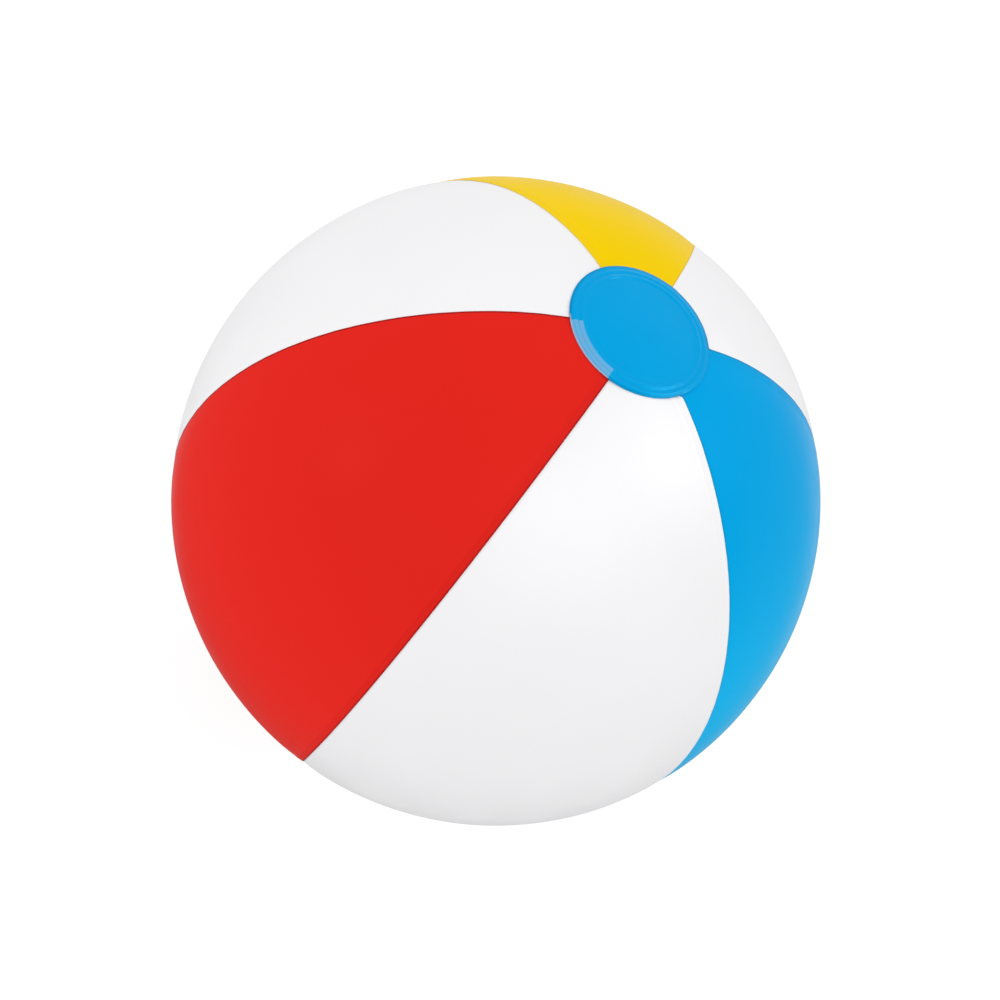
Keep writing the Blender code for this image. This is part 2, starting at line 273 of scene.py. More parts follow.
def make_film_panel(index):
    """Grid of one panel's film, with its tucked flap on the near side."""
    rows = panel_rows()
    near = index * PITCH
    arcs, azs = [], []
    for arc in rows:
        ring = R * math.sin(arc / R)
        lo = near + float(seam_shift(index, np.array(arc))) / ring
        hi = near + PITCH + float(seam_shift(index + 1, np.array(arc))) / ring
        s = panel_columns((hi - lo) * ring)
        arcs.append(np.full(len(s), arc))
        azs.append(lo + s / ring)
    arcs, azs = np.array(arcs), np.array(azs)
    nr, nc = arcs.shape
    ids = np.arange(nr * nc).reshape(nr, nc)
    arc, az = arcs.ravel(), azs.ravel()
    radius, _, _ = film_radius(index, arc, az)
    verts = direction(arc, az) * radius[:, None]
    keep = np.ones((nr - 1, nc - 1), bool)
    faces = []

    if index == ORDER.index("white_left"):
        # a polar patch round the valve's hole takes the place of a block of the grid
        xyz = direction(arc, az) * R
        x, y, h = xyz @ V_X, xyz @ V_Y, xyz @ V_N
        px, py = x.reshape(nr, nc), y.reshape(nr, nc)
        front = (h > 0).reshape(nr, nc)
        inside = (np.abs(px) < 30 * MM) & (np.abs(py) < 31 * MM) & front
        rr = np.where(inside.any(1))[0]
        cc = np.where(inside.any(0))[0]
        r0, r1, c0, c1 = rr[0], rr[-1], cc[0], cc[-1]
        keep[r0:r1, c0:c1] = False
        loop = ([ids[r0, c] for c in range(c0, c1)] + [ids[r, c1] for r in range(r0, r1)]
                + [ids[r1, c] for c in range(c1, c0, -1)] + [ids[r, c0] for r in range(r1, r0, -1)])
        bx, by = x[loop], y[loop]
        phi, rho = np.arctan2(by, bx), np.hypot(bx, by)
        count = len(loop)
        # spread the spokes evenly by the time they reach the round part
        order = np.unwrap(phi)
        turn = order[0] + np.sign(order[-1] - order[0]) * np.arange(count) * 2 * math.pi / count
        turn = turn + (order - turn).mean()
        radii = [None] * 5 + [22.5, 21, 20, 19.3, 18.8, 18.4, 18.1, 17.8, 17.5, 17.2, 16.8, 16.3, 15.9, 15.6,
                              15.3, 15.0, 14.6, 14.1, 13.8, 13.5, 13.2, 12.9, 12.5, 12.1, 11.8, 11.6]
        previous = loop
        extra = []
        for n, value in enumerate(radii):
            f = smooth(np.array(float(n + 1)), 0.0, 6.0)
            if value is None:
                ring_r = rho * (1 - f) + 24 * MM * f
            else:
                ring_r = np.full(count, value * MM)
            ang = order * (1 - f) + turn * f
            ex, ey = ring_r * np.cos(ang), ring_r * np.sin(ang)
            p = (np.sqrt(R * R - ring_r ** 2)[:, None] * V_N + ex[:, None] * V_X + ey[:, None] * V_Y)
            d = p / R
            a_arc = np.arccos(np.clip(d[:, 2], -1, 1)) * R
            a_az = np.arctan2(d[:, 1], d[:, 0])
            rad, _, _ = film_radius(index, a_arc, a_az)
            rad = rad + weld_ring(ring_r, ang)
            first = len(verts) + len(extra)
            extra.extend(d * rad[:, None])
            here = list(range(first, first + count))
            for i in range(count):
                j = (i + 1) % count
                faces.append((previous[i], previous[j], here[j], here[i]))
            previous = here
        verts = np.concatenate([verts, np.array(extra)])

    for i in range(nr - 1):
        for j in range(nc - 1):
            if keep[i, j]:
                faces.append((ids[i, j], ids[i + 1, j], ids[i + 1, j + 1], ids[i, j + 1]))
    name = "film_" + ORDER[index]
    ob = new_mesh(name, verts, faces)
    bm = bmesh.new()
    bm.from_mesh(ob.data)
    loose = [v for v in bm.verts if not v.link_faces]
    bmesh.ops.delete(bm, geom=loose, context="VERTS")
    bmesh.ops.recalc_face_normals(bm, faces=bm.faces[:])
    probe = bm.faces[0]
    if probe.normal.dot(probe.calc_center_median()) < 0:
        bmesh.ops.reverse_faces(bm, faces=bm.faces[:])
    bm.to_mesh(ob.data)
    bm.free()
    thicken(ob, FILM)
    shade(ob, 50.0)
    arc, az = polar(coords(ob))
    _, sn, sf = film_radius(index, arc, az)
    set_attribute(ob, "near_mm", sn / MM)
    set_attribute(ob, "far_mm", sf / MM)
    set_attribute(ob, "arc_mm", arc / MM)
    rho = np.linalg.norm(np.cross(coords(ob), V_N), axis=1) / MM
    rho = np.where(coords(ob) @ V_N > 0, rho, 999.0)
    set_attribute(ob, "valve_mm", np.minimum(rho, 999.0))
    return ob


def ring_shift(az):
    """The weld rings sit a little off the disc's centre."""
    return -0.8 * MM * np.sin(az)


def disc_height(a, az, top):
    """Height of an end disc's middle over the ball, at a metres from the pole."""
    h = np.full_like(a, 0.36 * MM)
    # the panels' ends under the disc, and the laps between them
    h = h + 0.20 * MM * smooth(a, 28.1 * MM, 29.2 * MM)
    for k in range(6):
        off = wrap(az - k * PITCH) * a
        lap = smooth(off, -LAP - 0.9 * MM, -LAP + 0.1 * MM) * (1 - smooth(off, -0.1 * MM, 0.9 * MM))
        h = h + 0.13 * MM * lap * smooth(a, 28.3 * MM, 30 * MM)
    # welded rings
    w = a - ring_shift(az)
    h = h + 0.30 * MM * bump(w, 30.4 * MM, 0.62 * MM)
    h = h - 0.10 * MM * bump(w, 31.9 * MM, 0.55 * MM)
    h = h + 0.28 * MM * bump(w, 33.6 * MM, 0.62 * MM)
    h = h - 0.24 * MM * smooth(a, 35.0 * MM, 36.4 * MM)
    ripple = np.sin(az * 41 + 1.3 * np.sin(az * 7)) * (0.6 + 0.4 * np.sin(az * 5 + 1.0))
    h = h + 0.035 * MM * ripple * smooth(a, 30 * MM, 36 * MM)
    return h


def make_disc(name, side):
    seg = 288
    radii = np.concatenate([[2, 5, 8.5, 12, 15, 17.5, 19.5, 20.5, 21.2, 22, 23.2, 24.6, 26, 27, 27.7],
                            np.arange(28.1, 36.25, 0.2), [36.3, 36.4]]) * MM
    az = np.arange(seg) * 2 * math.pi / seg
    verts = [(0, 0, 0)]
    pos = []
    for a in radii:
        arc = a if side > 0 else math.pi * R - a
        arcs = np.full(seg, arc)
        rad = base_radius(arcs, az) if side > 0 else np.full(seg, R)
        rad = rad + disc_height(np.full(seg, a), az, side > 0)
        pos.append(direction(arcs, az) * rad[:, None])
    pole = (R - (1.1 * MM if side > 0 else 0.0) + 0.36 * MM) * side
    verts = np.concatenate([[[0, 0, pole]], np.concatenate(pos)])
    if side < 0:
        # the film lies flat where the ball stands
        floor = REST_Z + DISC_FILM / 2
        d = verts[:, 2] - floor
        verts[:, 2] = floor + 0.5 * (d + np.sqrt(d * d + (0.10 * MM) ** 2))
    faces = []
    for j in range(seg):
        faces.append((0, 1 + j, 1 + (j + 1) % seg))
    for i in range(len(radii) - 1):
        for j in range(seg):
            k = (j + 1) % seg
            faces.append((1 + i * seg + j, 1 + (i + 1) * seg + j, 1 + (i + 1) * seg + k, 1 + i * seg + k))
    if side < 0:
        faces = [f[::-1] for f in faces]
    ob = new_mesh(name, verts, faces)
    thicken(ob, DISC_FILM)
    shade(ob, 60.0)
    co = coords(ob)
    arc, az = polar(co)
    a = arc if side > 0 else math.pi * R - arc
    set_attribute(ob, "ring_mm", a / MM)
    set_attribute(ob, "weld_mm", (a - ring_shift(az)) / MM)
    return ob


# ---------------------------------------------------------------- valve pieces
def round_corners(points, radii, closed=True, n=6):
    """Polygon of (r, h) points, in mm, with each corner rounded."""
    out = []
    count = len(points)
    for i, (p, rad) in enumerate(zip(points, radii)):
        if rad <= 0 or (not closed and i in (0, count - 1)):
            out.append(tuple(p))
            continue
        p = np.array(p, float)
        a = np.array(points[i - 1], float) - p
        b = np.array(points[(i + 1) % count], float) - p
        la, lb = np.linalg.norm(a), np.linalg.norm(b)
        a, b = a / la, b / lb
        half = math.acos(max(-1, min(1, a @ b))) / 2
        if half > math.radians(88):
            out.append(tuple(p))
            continue
        cut = min(rad / math.tan(half), 0.48 * la, 0.48 * lb)
        rr = cut * math.tan(half)
        mid = (a + b) / np.linalg.norm(a + b)
        centre = p + mid * rr / math.sin(half)
        start, end = p + a * cut - centre, p + b * cut - centre
        a0, a1 = math.atan2(start[1], start[0]), math.atan2(end[1], end[0])
        da = wrap(a1 - a0)
        for t in np.linspace(0, 1, n):
            out.append((centre[0] + rr * math.cos(a0 + da * t), centre[1] + rr * math.sin(a0 + da * t)))
    return out


def revolve(name, profile, seg=96, closed=True, matrix=VALVE, shape=None):
    """Turn a profile in mm about the valve's axis. An open one starts and ends on the axis."""
    pts = np.array(profile, float) * MM
    verts, faces, rings = [], [], []
    for r, h in pts:
        if r < 1e-7:
            rings.append([len(verts)])
            verts.append((0, 0, h))
            continue
        ring = []
        for j in range(seg):
            a = 2 * math.pi * j / seg
            rr, hh = (r, h) if shape is None else shape(r, h, a)
            ring.append(len(verts))
            verts.append((rr * math.cos(a), rr * math.sin(a), hh))
        rings.append(ring)
    pairs = list(zip(rings, rings[1:])) + ([(rings[-1], rings[0])] if closed else [])
    for p, q in pairs:
        for j in range(seg):
            k = (j + 1) % seg
            if len(p) == 1 and len(q) == 1:
                continue
            if len(p) == 1:
                faces.append((p[0], q[j], q[k]))
            elif len(q) == 1:
                faces.append((p[j], q[0], p[k]))
            else:
                faces.append((p[j], q[j], q[k], p[k]))
    ob = new_mesh(name, verts, faces)
    bm = bmesh.new()
    bm.from_mesh(ob.data)
    bmesh.ops.recalc_face_normals(bm, faces=bm.faces[:])
    bm.to_mesh(ob.data)
    bm.free()
    ob.data.transform(matrix)
    shade(ob, 50.0)
    return ob


def on_ball(r, drop):
    return math.sqrt((R / MM - drop) ** 2 - r ** 2) - R / MM


def catmull(points, n):
    p = np.array(points, float)
    p = np.vstack([2 * p[0] - p[1], p, 2 * p[-1] - p[-2]])
    out = []
    for i in range(1, len(p) - 2):
        for t in np.linspace(0, 1, n, endpoint=False):
            out.append(0.5 * ((2 * p[i]) + (-p[i - 1] + p[i + 1]) * t
                              + (2 * p[i - 1] - 5 * p[i] + 4 * p[i + 1] - p[i + 2]) * t * t
                              + (-p[i - 1] + 3 * p[i] - 3 * p[i + 1] + p[i + 2]) * t ** 3))
    out.append(p[-2])
    return np.array(out)


def skin(line, half):
    """Closed outline round a centre line, half thick each side, with round ends."""
    line = np.array(line, float)
    tan = np.gradient(line, axis=0)
    tan = tan / np.linalg.norm(tan, axis=1)[:, None]
    nor = np.stack([-tan[:, 1], tan[:, 0]], 1)
    h = half if np.ndim(half) else np.full(len(line), half)
    left, right = line + nor * h[:, None], line - nor * h[:, None]
    cap = []
    for end, t, nn, hh in ((line[-1], tan[-1], nor[-1], h[-1]),):
        for a in np.linspace(90, -90, 7)[1:-1]:
            a = math.radians(a)
            cap.append(end + nn * hh * math.sin(a) + t * hh * math.cos(a))
    cap0 = []
    for a in np.linspace(-90, 90, 7)[1:-1]:
        a = math.radians(a)
        cap0.append(line[0] + nor[0] * h[0] * math.sin(a) - tan[0] * h[0] * math.cos(a))
    return np.vstack([left, cap, right[::-1], cap0])


def make_flange():
    top = [(r, on_ball(r, 0.50)) for r in (16.9, 15.4, 13.9, 12.6)]
    top += [(11.2, -1.18), (10.4, -1.38), (9.2, -1.42)]
    under = [(8.45, -1.50), (8.45, -2.05), (9.2, -2.15), (11.4, -2.05), (13.5, on_ball(13.5, 1.25)), (16.9, on_ball(16.9, 1.0))]
    pts = top + under
    radii = [0.15, 0, 0, 1.2, 1.0, 0.8, 0.5, 0.28, 0.25, 0.6, 0.6, 0, 0.15]
    return revolve("valve_flange_ring", round_corners(pts, radii), 120)


def make_diaphragm():
    line = catmull([(5.45, -7.68), (5.95, -7.72), (6.45, -7.40), (6.78, -6.55), (6.96, -5.3), (7.08, -4.2),
                    (7.36, -3.1), (7.72, -2.35), (8.05, -1.92), (8.35, -1.78)], 7)
    n = len(line)
    t = np.linspace(0, 1, n)
    fold = 0.10 * np.sin(2 * math.pi * 3.2 * t) * np.sin(math.pi * t) ** 0.8
    tan = np.gradient(line, axis=0)
    tan = tan / np.linalg.norm(tan, axis=1)[:, None]
    line = line + np.stack([-tan[:, 1], tan[:, 0]], 1) * fold[:, None]
    return revolve("valve_rolling_neck", skin(line, 0.19), 96)


def make_stem():
    top, foot = -0.8, -16.3
    pts = [(3.3, top), (5.8, top), (5.8, top - 1.25), (4.85, top - 1.9), (4.85, -4.2), (5.0, -4.45), (4.85, -4.7),
           (4.85, -6.85), (5.3, -7.1), (5.3, -8.3), (4.8, -8.6), (4.75, foot), (3.3, foot)]
    radii = [0.35, 0.4, 0.25, 0.5, 0.1, 0.1, 0.1, 0.3, 0.25, 0.25, 0.3, 0.4, 0.2]
    return revolve("valve_tube", round_corners(pts, radii), 96)


def make_stopper():
    pts = [(0, 0.62), (2.5, 0.64), (3.5, 1.28), (5.7, 1.24), (6.5, 0.55), (6.5, -0.28), (6.15, -0.5), (3.0, -0.5),
           (2.92, -1.7), (2.98, -2.2), (2.62, -3.2), (2.1, -4.75), (1.5, -5.0), (0, -5.0)]
    radii = [0, 0.9, 0.5, 0.5, 0.35, 0.2, 0.15, 0.25, 0.3, 0.2, 0.6, 0.3, 0.3, 0]
    cap = revolve("valve_cap", round_corners(pts, radii, closed=False), 96, closed=False)
    # pull tab opposite the strap
    bm = bmesh.new()
    outline = []
    for a in np.linspace(90, 270, 17):
        a = math.radians(a)
        outline.append((-7.7 * MM + 1.5 * MM * math.cos(a), 1.75 * MM * math.sin(a)))
    outline += [(-5.4 * MM, -2.1 * MM), (-5.4 * MM, 2.1 * MM)]
    low = [bm.verts.new((x, y, -0.15 * MM)) for x, y in outline]
    face = bm.faces.new(low)
    up = bmesh.ops.extrude_face_region(bm, geom=[face])["geom"]
    bmesh.ops.translate(bm, verts=[v for v in up if isinstance(v, bmesh.types.BMVert)], vec=(0, 0, 0.85 * MM))
    bmesh.ops.recalc_face_normals(bm, faces=bm.faces[:])
    me = bpy.data.meshes.new("tab")
    bm.to_mesh(me)
    bm.free()
    tab = bpy.data.objects.new("tab", me)
    bpy.context.scene.collection.objects.link(tab)
    bev = tab.modifiers.new("round", "BEVEL")
    bev.width, bev.segments, bev.limit_method = 0.22 * MM, 3, "ANGLE"
    bev.angle_limit = math.radians(50)
    apply_modifiers(tab)
    tab.data.transform(VALVE)
    union = cap.modifiers.new("join", "BOOLEAN")
    union.operation, union.solver, union.object = "UNION", "EXACT", tab
    apply_modifiers(cap)
    bpy.data.objects.remove(tab)
    shade(cap, 40.0)
    return cap


def make_strap():
    upper, lower, reach = 0.4, -0.75, 10.2
    bend = (upper - lower) / 2
    centre = reach - bend + 0.1
    line = [(5.55, -1.47), (6.1, -1.45), (6.7, -1.36), (centre - 1.6, lower - 0.1), (centre - 0.8, lower)]
    for i in range(13):
        a = math.radians(-90 + 180 * i / 12)
        line.append((centre + bend * math.cos(a), (upper + lower) / 2 + bend * math.sin(a)))
    line += [(centre - 0.8, upper), (centre - 1.6, upper), (6.9, upper - 0.05), (6.1, upper - 0.1)]
    path = catmull(line, 3)
    tan = np.gradient(path, axis=0)
    tan = tan / np.linalg.norm(tan, axis=1)[:, None]
    nor = np.stack([-tan[:, 1], tan[:, 0]], 1)
    verts, faces = [], []
    ends = np.linspace(0, 1, len(path))
    flare = 1.0 + 0.28 * (np.exp(-(ends / 0.07) ** 2) + np.exp(-((1 - ends) / 0.07) ** 2))
    section = round_corners([(-1.3, -0.3), (1.3, -0.3), (1.3, 0.3), (-1.3, 0.3)], [0.2] * 4, n=4)
    m = len(section)
    for p, nn, w in zip(path, nor, flare):
        for y, t in section:
            verts.append(((p[0] + nn[0] * t) * MM, y * w * MM, (p[1] + nn[1] * t) * MM))
    for i in range(len(path) - 1):
        for j in range(m):
            k = (j + 1) % m
            faces.append((i * m + j, i * m + k, (i + 1) * m + k, (i + 1) * m + j))
    faces.append(tuple(range(m)))
    faces.append(tuple(range((len(path) - 1) * m, len(path) * m))[::-1])
    ob = new_mesh("valve_tether", verts, faces)
    # moulded bead across the strap, on the line that it folds about
    turn, rings = 26, ((-1.47, 0.17), (-1.44, 0.26), (-1.37, 0.30), (1.37, 0.30), (1.44, 0.26), (1.47, 0.17))
    bead = []
    for y, r in rings:
        for k in range(turn):
            a = 2 * math.pi * (k + 0.37) / turn
            bead.append(((reach + r * math.cos(a)) * MM, y * MM, (0.3 + r * math.sin(a)) * MM))
    sides = [tuple(range(turn)), tuple(range((len(rings) - 1) * turn, len(rings) * turn))[::-1]]
    for i in range(len(rings) - 1):
        for j in range(turn):
            k = (j + 1) % turn
            sides.append((i * turn + j, (i + 1) * turn + j, (i + 1) * turn + k, i * turn + k))
    roll = new_mesh("strap_bead", bead, sides)
    for each in (ob, roll):
        bm = bmesh.new()
        bm.from_mesh(each.data)
        bmesh.ops.recalc_face_normals(bm, faces=bm.faces[:])
        bm.to_mesh(each.data)
        bm.free()
    cut = ob.modifiers.new("bead", "BOOLEAN")
    cut.operation = "UNION"
    cut.solver = "EXACT"
    cut.object = roll
    whole = bpy.data.meshes.new_from_object(ob.evaluated_get(bpy.context.evaluated_depsgraph_get()))
    ob.modifiers.clear()
    ob.data = whole
    bpy.data.objects.remove(roll, do_unlink=True)
    bm = bmesh.new()
    bm.from_mesh(ob.data)
    bmesh.ops.remove_doubles(bm, verts=bm.verts[:], dist=0.000004)
    bmesh.ops.triangulate(bm, faces=bm.faces[:])
    bm.to_mesh(ob.data)
    bm.free()
    ob.data.transform(VALVE)
    shade(ob, 40.0)
    return ob


def make_flap():
    foot = -16.3
    top = foot - 0.3
    pts = [(0, top), (3.1, top), (3.5, top + 0.12), (3.9, top), (4.3, top), (4.3, top - 0.5), (0, top - 0.5)]
    radii = [0, 0.3, 0.2, 0.3, 0.15, 0.15, 0]
    return revolve("valve_flap", round_corners(pts, radii, closed=False), 72, closed=False)


# ---------------------------------------------------------------- materials
class Nodes:
    def __init__(self, mat):
        mat.use_nodes = True
        self.t = mat.node_tree
        self.t.nodes.clear()
        self.x = 0

    def add(self, kind, **props):
        n = self.t.nodes.new(kind)
        n.location = (self.x, 0)
        self.x += 40
        for k, v in props.items():
            setattr(n, k, v)
        return n

    def link(self, a, b):
        self.t.links.new(a, b)

    def put(self, socket, value):
        if isinstance(value, bpy.types.NodeSocket):
            self.link(value, socket)
        else:
            socket.default_value = value

    def math(self, op, a, b=0.0, clamp=False):
        n = self.add("ShaderNodeMath", operation=op, use_clamp=clamp)
        self.put(n.inputs[0], a)
        self.put(n.inputs[1], b)
        return n.outputs[0]

    def ramp(self, value, a, b, lo=0.0, hi=1.0):
        n = self.add("ShaderNodeMapRange", interpolation_type="SMOOTHSTEP")
        self.put(n.inputs["Value"], value)
        n.inputs["From Min"].default_value = a
        n.inputs["From Max"].default_value = b
        n.inputs["To Min"].default_value = lo
        n.inputs["To Max"].default_value = hi
        return n.outputs["Result"]

    def band(self, value, a, b, soft):
        return self.math("MULTIPLY", self.ramp(value, a - soft, a + soft), self.ramp(value, b - soft, b + soft, 1.0, 0.0))

    def noise(self, vec, scale, detail=2.0, rough=0.5):
        n = self.add("ShaderNodeTexNoise")
        self.link(vec, n.inputs["Vector"])
        n.inputs["Scale"].default_value = scale
        n.inputs["Detail"].default_value = detail
        n.inputs["Roughness"].default_value = rough
        return n.outputs["Fac"]

    def mix(self, fac, a, b):
        n = self.add("ShaderNodeMix", data_type="RGBA")
        self.put(n.inputs[0], fac)
        self.put(n.inputs[6], a if isinstance(a, bpy.types.NodeSocket) else (*a, 1.0))
        self.put(n.inputs[7], b if isinstance(b, bpy.types.NodeSocket) else (*b, 1.0))
        return n.outputs[2]

    def sector(self, vec, start, a, b, late=0.0):
        """1 inside the sixth of the ball that starts at this azimuth, or late metres on from there."""
        mask = None
        for az, sign, on in ((start, 1.0, late), (start + PITCH, -1.0, 0.0)):
            dot = self.add("ShaderNodeVectorMath", operation="DOT_PRODUCT")
            self.link(vec, dot.inputs[0])
            dot.inputs[1].default_value = (-math.sin(az) * sign, math.cos(az) * sign, 0.0)
            half = self.ramp(dot.outputs["Value"], a + on, b + on)
            mask = half if mask is None else self.math("MULTIPLY", mask, half)
        return mask

    def attribute(self, name):
        n = self.add("ShaderNodeAttribute", attribute_name=name)
        return n.outputs["Fac"]

    def where(self):
        return self.add("ShaderNodeTexCoord").outputs["Object"]

    def bump(self, height, distance, strength=1.0, normal=None):
        n = self.add("ShaderNodeBump")
        self.put(n.inputs["Height"], height)
        n.inputs["Distance"].default_value = distance
        n.inputs["Strength"].default_value = strength
        if normal is not None:
            self.link(normal, n.inputs["Normal"])
        return n.outputs["Normal"]

    def finish(self, colour, rough, normal, ior_level, **sockets):
        p = self.add("ShaderNodeBsdfPrincipled")
        self.put(p.inputs["Base Color"], colour)
        self.put(p.inputs["Roughness"], rough)
        if normal is not None:
            self.link(normal, p.inputs["Normal"])
        p.inputs["IOR"].default_value = 1.5
        p.inputs["Specular IOR Level"].default_value = ior_level
        for k, v in sockets.items():
            p.inputs[k.replace("_", " ")].default_value = v
        out = self.add("ShaderNodeOutputMaterial")
        self.link(p.outputs[0], out.inputs["Surface"])
        return p


def scaled(c, f):
    return tuple(max(0.0, v * f) for v in c)


def film_material(name, base, painted_sheen_colour, reach, edge, tint, level, low, dull):
    mat = bpy.data.materials.new(name)
    n = Nodes(mat)
    here = n.where()
    # ink and film: slow drift of tone
    drift = n.noise(here, 11.0, 2.0, 0.45)
    colour = n.mix(n.ramp(drift, 0.32, 0.68), scaled(base, low), base)
    # painted sheen: the colour is painted lighter towards the ball's equator, standing in for the brighter rim of
    # the ball
    height = n.add("ShaderNodeSeparateXYZ")
    n.link(here, height.inputs[0])
    painted_sheen = n.ramp(n.math("ABSOLUTE", height.outputs["Z"]), (reach - 0.60) * R, reach * R, 1.0, 0.0)
    colour = n.mix(painted_sheen, colour, painted_sheen_colour)
    near, far = n.attribute("near_mm"), n.attribute("far_mm")
    # the doubled film of the lap, and the pressed line along each edge
    lap = n.band(far, 0.0, 4.0, 0.25)
    colour = n.mix(n.math("MULTIPLY", lap, 0.10), colour, edge)
    line = n.math("MAXIMUM", n.ramp(far, 0.4, 1.1, 1.0, 0.0), n.ramp(near, 0.5, 1.2, 1.0, 0.0))
    colour = n.mix(n.math("MULTIPLY", line, 0.80), colour, edge)
    # weld tool's fine ribs across the lap
    arc = n.attribute("arc_mm")
    ribs = n.math("SINE", n.math("MULTIPLY", arc, 2 * math.pi / 1.15))
    ribs2 = n.math("SINE", n.math("MULTIPLY", far, 2 * math.pi / 1.0))
    weld = n.band(far, 0.7, 3.5, 0.2)
    pattern = n.math("MULTIPLY", n.math("MULTIPLY", ribs, ribs2), weld)
    # film grain and faint scuffs
    grain = n.noise(here, 420.0, 3.0, 0.55)
    orange = n.noise(here, 95.0, 2.0, 0.5)
    scuff = n.noise(here, 34.0, 5.0, 0.62)
    rough = n.math("ADD", n.ramp(scuff, 0.35, 0.75, dull - 0.05, dull + 0.05), n.math("MULTIPLY", weld, 0.08))
    normal = n.bump(orange, 0.00006, 0.55)
    normal = n.bump(grain, 0.000012, 0.5, normal)
    normal = n.bump(pattern, 0.00004, 0.6, normal)
    n.finish(colour, rough, normal, level, Specular_Tint=(*tint, 1.0))
    return mat


def disc_material(name, base, edge, tint, frost_a, frost_b, frosted):
    mat = bpy.data.materials.new(name)
    n = Nodes(mat)
    here = n.where()
    drift = n.noise(here, 18.0, 2.0, 0.45)
    colour = n.mix(n.ramp(drift, 0.32, 0.68), scaled(base, 0.965), base)
    ring, weld = n.attribute("ring_mm"), n.attribute("weld_mm")
    # pressed rim, lost where the disc runs on into the blue panel
    open_side = n.sector(here, BLUE_INDEX * PITCH, 0.0006, 0.0030)
    rim = n.math("MULTIPLY", n.band(ring, 35.2, 36.9, 0.35), n.math("SUBTRACT", 1.0, open_side))
    colour = n.mix(n.math("MULTIPLY", rim, 0.55), colour, edge)
    band = n.band(weld, 29.6, 35.2, 0.3)
    scuff = n.noise(here, 60.0, 5.0, 0.62)
    rough = n.ramp(scuff, 0.35, 0.75, 0.21, 0.26)
    if frosted:
        # the weld came out milky where the disc lies over the red panel
        mask = n.math("MULTIPLY", n.band(weld, 30.4, 36.4, 0.28), n.sector(here, ORDER.index("red") * PITCH, 0.0002, 0.0009, 0.0031))
        cloud = n.noise(here, 260.0, 3.0, 0.6)
        milk = n.mix(n.ramp(cloud, 0.3, 0.7), frost_a, frost_b)
        lines = n.math("MAXIMUM", n.band(weld, 32.3, 32.7, 0.25), n.band(weld, 34.5, 34.9, 0.25))
        milk = n.mix(n.math("MULTIPLY", lines, 0.35), milk, edge)
        colour = n.mix(n.math("MULTIPLY", mask, 0.95), colour, milk)
        # painted highlight: a thin pale line along the patch's edge over the red panel, paler than the rest
        painted_edge_highlight = n.math("MULTIPLY", n.band(ring, 35.75, 36.7, 0.2), n.sector(here, ORDER.index("red") * PITCH, 0.0002, 0.0009))
        colour = n.mix(n.math("MULTIPLY", painted_edge_highlight, 0.55), colour, (0.52, 0.42, 0.50))
        rough = n.math("ADD", rough, n.math("MULTIPLY", mask, 0.15))
    grain = n.noise(here, 420.0, 3.0, 0.55)
    orange = n.noise(here, 70.0, 1.0, 0.5)
    stipple = n.noise(here, 1500.0, 1.0, 0.5)
    normal = n.bump(orange, 0.00004, 0.5)
    normal = n.bump(grain, 0.000012, 0.5, normal)
    normal = n.bump(n.math("MULTIPLY", stipple, band), 0.00003, 0.5, normal)
    n.finish(colour, rough, normal, 0.32, Specular_Tint=(*tint, 1.0))
    return mat


def valve_material(name, tint, deep):
    """Soft, milky, slightly blue vinyl."""
    mat = bpy.data.materials.new(name)
    n = Nodes(mat)
    here = n.where()
    cloud = n.noise(here, 120.0, 1.0, 0.5)
    colour = n.mix(n.ramp(cloud, 0.3, 0.7), tint, deep)
    scuff = n.noise(here, 260.0, 2.0, 0.5)
    rough = n.ramp(scuff, 0.30, 0.75, 0.27, 0.34)
    grain = n.noise(here, 900.0, 1.0, 0.5)
    normal = n.bump(grain, 0.000008, 0.3)
    n.finish(colour, rough, normal, 0.5, Transmission_Weight=0.10)
    return mat


WHITE = (0.922, 0.920, 0.934)
RED = (0.764, 0.0200, 0.0140)
BLUE = (0.0, 0.372, 0.780)
YELLOW = (0.932, 0.630, 0.0)
# each film's second colour is a painted sheen: a lighter tone laid towards the ball's equator (the same as the base
# for white)
MATERIALS = {
    "white": film_material("vinyl_film_white", WHITE, WHITE, 0.80, (0.90, 0.90, 0.92), (1.0, 1.0, 1.0), 0.50, 0.985, 0.48),
    "red": film_material("vinyl_film_red", RED, (0.815, 0.0230, 0.0160), 0.66, (0.36, 0.010, 0.010), (1.0, 0.50, 0.28), 0.015, 0.985, 0.33),
    "blue": film_material("vinyl_film_blue", BLUE, (0.004, 0.465, 0.855), 0.95, (0.0, 0.24, 0.46), (0.0, 0.60, 1.0), 0.035, 0.97, 0.33),
    "yellow": film_material("vinyl_film_yellow", YELLOW, (0.950, 0.650, 0.0), 0.80, (0.84, 0.58, 0.03), (1.0, 0.75, 0.0), 0.025, 0.97, 0.33),
}
DISC_BLUE = (0.0, 0.368, 0.775)
DISC_TOP = disc_material("vinyl_disc_top", DISC_BLUE, (0.0, 0.20, 0.44), (0.05, 0.76, 1.0),
                         (0.13, 0.46, 0.77), (0.17, 0.42, 0.72), True)
DISC_BOTTOM = disc_material("vinyl_disc_bottom", DISC_BLUE, (0.0, 0.20, 0.44), (0.05, 0.76, 1.0), BLUE, BLUE, False)
VINYL_CLEAR = valve_material("vinyl_milky", (0.86, 0.89, 0.90), (0.80, 0.84, 0.86))


# ---------------------------------------------------------------- build the ball
def place(ob, mat, body, slot, *nodes):
    ob.data.materials.clear()
    ob.data.materials.append(mat)
    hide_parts(*nodes)
    if body:
        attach(ob, body)
    return ob


for i, name in enumerate(ORDER):
    kind = name.split("_")[0]
    place(make_film_panel(i), MATERIALS[kind], "ball", "vinyl_" + kind, "panel_" + name)

place(make_disc("end_disc_top", 1), DISC_TOP, "ball", "vinyl_blue", "top_end_disc")
place(make_disc("end_disc_bottom", -1), DISC_BOTTOM, "ball", "vinyl_blue", "bottom_end_disc")


